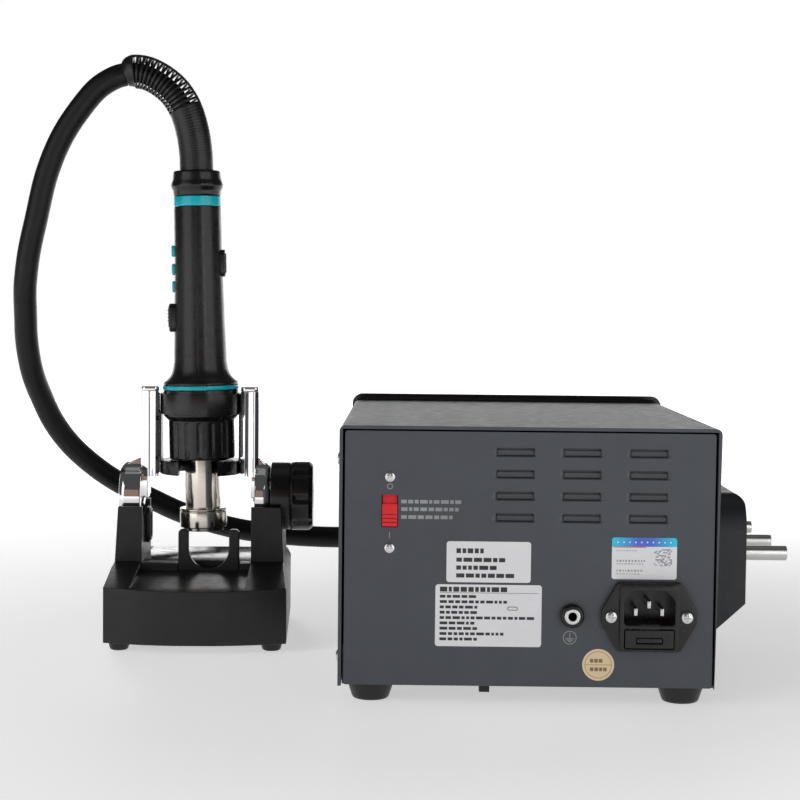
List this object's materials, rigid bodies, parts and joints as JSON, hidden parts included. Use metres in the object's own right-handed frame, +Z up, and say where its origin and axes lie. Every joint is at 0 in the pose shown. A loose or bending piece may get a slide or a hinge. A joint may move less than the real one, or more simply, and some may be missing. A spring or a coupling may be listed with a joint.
{
  "type": "hot air rework station",
  "caption": "Hot air rework station: a metal control unit with rear inlet and nozzle rack, a tilting stand, and a handpiece on a thick air hose.",
  "frame": {"origin": "on the bench surface, below the middle of the object without its hose", "axes": "+Z up, +Y towards the control panel side, so -Y is the side with the mains inlet, and +X from the handpiece stand towards the nozzle rack"},
  "size_m": [0.4808, 0.3543, 0.3711],
  "materials": {
    "powder_coat": "fine slate grey powder coat",
    "black_plastic": "satin moulded plastic",
    "gloss_black": "glossy moulded plastic",
    "black_paint": "satin charcoal paint on a casting",
    "chrome": "bright chrome plate",
    "steel": "polished stainless steel",
    "screw_steel": "bright plated steel",
    "rubber": "black rubber",
    "cyan_plastic": "cyan moulded plastic",
    "red_plastic": "red moulded plastic",
    "display_glass": "dark glossy display cover",
    "ceramic": "heater ceramic",
    "circuit_board": "coated circuit board"
  },
  "bodies": {
    "root": {"case_cover": "powder_coat", "chassis_pan": "black_paint", "rear_panel": "powder_coat", "front_bezel": "gloss_black", "display_window": "display_glass", "hose_gland": "black_plastic", "iec_inlet": "black_plastic", "inlet_screw_left": "screw_steel", "inlet_screw_right": "screw_steel", "ground_jack": "black_plastic", "memory_switch_frame": "black_plastic", "switch_screw_1": "screw_steel", "switch_screw_2": "screw_steel", "cover_screw_1": "screw_steel", "cover_screw_2": "screw_steel", "cover_screw_3": "screw_steel", "nozzle_rack": "black_plastic", "case_foot_1": "rubber", "case_foot_2": "rubber", "case_foot_3": "rubber", "case_foot_4": "rubber", "blower_housing": "black_plastic", "control_board": "circuit_board", "stand_base": "black_paint", "stand_foot_1": "rubber", "stand_foot_2": "rubber", "stand_foot_3": "rubber", "stand_foot_4": "rubber", "nozzle_fork": "black_paint", "stand_stop_pad": "rubber", "hose_lower": "rubber"},
    "cradle": {"cradle_arm_left": "chrome", "cradle_arm_right": "chrome", "cradle_cup": "black_plastic"},
    "clamp_knob": {"clamp_knob": "black_plastic"},
    "handpiece": {"handle_shell_left": "black_plastic", "handle_shell_right": "black_plastic", "head_shell": "black_plastic", "accent_ring_head": "cyan_plastic", "accent_ring_upper": "cyan_plastic", "handle_collar": "black_plastic", "heater_tube": "steel", "nozzle_ring": "steel", "heating_core": "ceramic", "hose_sleeve": "rubber", "hose_upper": "rubber"},
    "handle_button_1": {"handle_button_1": "cyan_plastic"},
    "handle_button_2": {"handle_button_2": "cyan_plastic"},
    "handle_button_3": {"handle_button_3": "cyan_plastic"},
    "thumb_slider": {"thumb_slider": "cyan_plastic"},
    "back_button": {"back_button": "black_plastic"},
    "memory_slider": {"memory_slider": "red_plastic"},
    "fuse_drawer": {"fuse_drawer": "black_plastic"},
    "stored_nozzle_1": {"stored_nozzle_1": "steel"},
    "stored_nozzle_2": {"stored_nozzle_2": "steel"},
    "stored_nozzle_3": {"stored_nozzle_3": "steel"},
    "temperature_knob": {"temperature_knob": "black_plastic"},
    "airflow_knob": {"airflow_knob": "black_plastic"},
    "power_rocker": {"power_rocker": "black_plastic"},
    "blower_impeller": {"blower_impeller": "black_plastic"}
  },
  "joints": [
    {"name": "cradle_tilt", "type": "hinge", "parent": "root", "child": "cradle", "pos_m": [-0.1487, 0.0856, 0.086], "axis": [0.9994, 0.0349, 0], "range_deg": [-40, 15], "deforming": ["hose_lower"]},
    {"name": "clamp_knob_turn", "type": "hinge", "parent": "cradle", "child": "clamp_knob", "pos_m": [-0.08874, 0.08769, 0.086], "axis": [0.9994, 0.0349, 0], "range_deg": [-90, 90]},
    {"name": "handpiece_lift", "type": "slide", "parent": "cradle", "child": "handpiece", "axis": [-0.0239, -0.0008, 0.9997], "range_m": [0, 0.11], "deforming": ["hose_upper"]},
    {"name": "handle_button_1_press", "type": "slide", "parent": "handpiece", "child": "handle_button_1", "axis": [0.9991, 0.0349, 0.0239], "range_m": [0, 0.0008], "stiffness_N_per_m": 600},
    {"name": "handle_button_2_press", "type": "slide", "parent": "handpiece", "child": "handle_button_2", "axis": [0.9991, 0.0349, 0.0239], "range_m": [0, 0.0008], "stiffness_N_per_m": 600},
    {"name": "handle_button_3_press", "type": "slide", "parent": "handpiece", "child": "handle_button_3", "axis": [0.9991, 0.0349, 0.0239], "range_m": [0, 0.0008], "stiffness_N_per_m": 600},
    {"name": "thumb_slide", "type": "slide", "parent": "handpiece", "child": "thumb_slider", "axis": [-0.0239, -0.0008, 0.9997], "range_m": [-0.003, 0]},
    {"name": "back_button_press", "type": "slide", "parent": "handpiece", "child": "back_button", "axis": [-0.9991, -0.0349, -0.0239], "range_m": [0, 0.0008], "stiffness_N_per_m": 600},
    {"name": "memory_switch_slide", "type": "slide", "parent": "root", "child": "memory_slider", "axis": [0, 0, 1], "range_m": [0, 0.0045]},
    {"name": "fuse_drawer_slide", "type": "slide", "parent": "root", "child": "fuse_drawer", "axis": [0, -1, 0], "range_m": [0, 0.022]},
    {"name": "stored_nozzle_1_pull", "type": "slide", "parent": "root", "child": "stored_nozzle_1", "axis": [1, 0, 0], "range_m": [0, 0.055]},
    {"name": "stored_nozzle_2_pull", "type": "slide", "parent": "root", "child": "stored_nozzle_2", "axis": [1, 0, 0], "range_m": [0, 0.055]},
    {"name": "stored_nozzle_3_pull", "type": "slide", "parent": "root", "child": "stored_nozzle_3", "axis": [1, 0, 0], "range_m": [0, 0.055]},
    {"name": "temperature_knob_turn", "type": "hinge", "parent": "root", "child": "temperature_knob", "pos_m": [0.0306, 0.1226, 0.055], "axis": [0, 1, 0], "continuous": true},
    {"name": "airflow_knob_turn", "type": "hinge", "parent": "root", "child": "airflow_knob", "pos_m": [0.0806, 0.1226, 0.055], "axis": [0, 1, 0], "continuous": true},
    {"name": "power_rocker_tilt", "type": "hinge", "parent": "root", "child": "power_rocker", "pos_m": [0.1276, 0.1166, 0.051], "axis": [1, 0, 0], "range_deg": [0, 12]},
    {"name": "blower_spin", "type": "hinge", "parent": "root", "child": "blower_impeller", "pos_m": [0.0056, 0.0506, 0.04], "axis": [0, 0, 1], "continuous": true}
  ]
}
